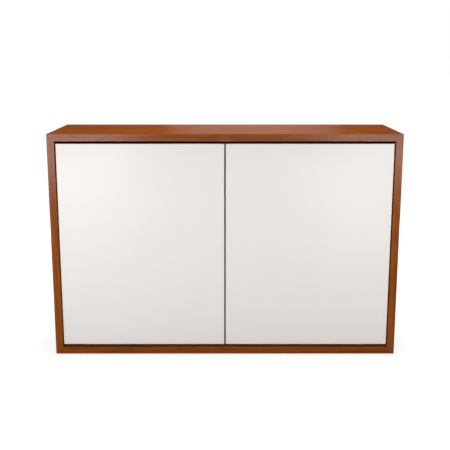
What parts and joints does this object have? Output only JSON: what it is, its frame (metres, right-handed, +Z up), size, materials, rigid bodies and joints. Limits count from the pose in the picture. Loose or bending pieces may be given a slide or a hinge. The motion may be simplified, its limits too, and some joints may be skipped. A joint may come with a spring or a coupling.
{
  "type": "credenza",
  "caption": "Low credenza with a mitred wood case and plain white doors set back in it, on concealed hinges with push latches, over adjustable shelves.",
  "frame": {"origin": "on the floor plane, under the middle of the case", "axes": "+X to the right along the front as seen by someone facing the doors, +Y to the back, +Z up"},
  "size_m": [1.2, 0.365, 0.784],
  "materials": {
    "case_wood": "reddish-brown stained veneer under satin lacquer",
    "door_lacquer": "off-white satin lacquer on board",
    "back_board": "reddish-brown veneered thin board",
    "joint_wood": "plain beech, hidden in the joints",
    "shelf_pin_steel": "nickel plated",
    "hinge_steel": "nickel plated pressed steel",
    "pin_steel": "bright steel",
    "screw_steel": "zinc plated",
    "bracket_steel": "zinc plated",
    "strike_steel": "nickel plated",
    "spring_steel": "oiled spring strip",
    "magnet": "dark sintered magnet",
    "latch_plastic": "grey moulded",
    "plunger_plastic": "pale grey moulded",
    "glide_plastic": "dark brown moulded"
  },
  "bodies": {
    "case": {"back_panel": "back_board", "back_panel_screws": "screw_steel", "bottom_panel": "case_wood", "centre_divider": "case_wood", "divider_dowels": "joint_wood", "floor_glides": "glide_plastic", "glide_screws": "screw_steel", "left_arm_screws": "screw_steel", "left_bracket_screws": "screw_steel", "left_latch_housing": "latch_plastic", "left_latch_screws": "screw_steel", "left_latch_spring": "spring_steel", "left_lower_hinge_arm": "hinge_steel", "left_lower_hinge_plate": "hinge_steel", "left_plate_screws": "screw_steel", "left_shelf": "case_wood", "left_shelf_pins": "shelf_pin_steel", "left_side_panel": "case_wood", "left_upper_hinge_arm": "hinge_steel", "left_upper_hinge_plate": "hinge_steel", "left_wall_bracket": "bracket_steel", "mitre_splines": "joint_wood", "right_arm_screws": "screw_steel", "right_bracket_screws": "screw_steel", "right_latch_housing": "latch_plastic", "right_latch_screws": "screw_steel", "right_latch_spring": "spring_steel", "right_lower_hinge_arm": "hinge_steel", "right_lower_hinge_plate": "hinge_steel", "right_plate_screws": "screw_steel", "right_shelf": "case_wood", "right_shelf_pins": "shelf_pin_steel", "right_side_panel": "case_wood", "right_upper_hinge_arm": "hinge_steel", "right_upper_hinge_plate": "hinge_steel", "right_wall_bracket": "bracket_steel", "top_panel": "case_wood"},
    "left_door": {"left_door_panel": "door_lacquer", "left_lower_hinge_cup": "hinge_steel", "left_upper_hinge_cup": "hinge_steel", "left_lower_hinge_pin": "pin_steel", "left_upper_hinge_pin": "pin_steel", "left_cup_screws": "screw_steel", "left_strike_plate": "strike_steel", "left_strike_screw": "screw_steel"},
    "left_plunger": {"left_latch_plunger": "plunger_plastic", "left_latch_magnet": "magnet"},
    "right_door": {"right_door_panel": "door_lacquer", "right_lower_hinge_cup": "hinge_steel", "right_upper_hinge_cup": "hinge_steel", "right_lower_hinge_pin": "pin_steel", "right_upper_hinge_pin": "pin_steel", "right_cup_screws": "screw_steel", "right_strike_plate": "strike_steel", "right_strike_screw": "screw_steel"},
    "right_plunger": {"right_latch_plunger": "plunger_plastic", "right_latch_magnet": "magnet"}
  },
  "joints": [
    {"name": "left_door_swing", "type": "hinge", "parent": "case", "child": "left_door", "pos_m": [-0.5495, -0.163, 0.3935], "axis": [0, 0, -1], "range_deg": [0, 100]},
    {"name": "left_plunger_slide", "type": "slide", "parent": "case", "child": "left_plunger", "axis": [0, -1, 0], "range_m": [0, 0.014]},
    {"name": "right_door_swing", "type": "hinge", "parent": "case", "child": "right_door", "pos_m": [0.5495, -0.163, 0.3935], "axis": [0, 0, 1], "range_deg": [0, 100]},
    {"name": "right_plunger_slide", "type": "slide", "parent": "case", "child": "right_plunger", "axis": [0, -1, 0], "range_m": [0, 0.014]}
  ],
  "couplings": [
    {"joint": "left_plunger_slide", "follows": "left_door_swing", "m_per_rad": 0.008},
    {"joint": "right_plunger_slide", "follows": "right_door_swing", "m_per_rad": 0.008}
  ]
}
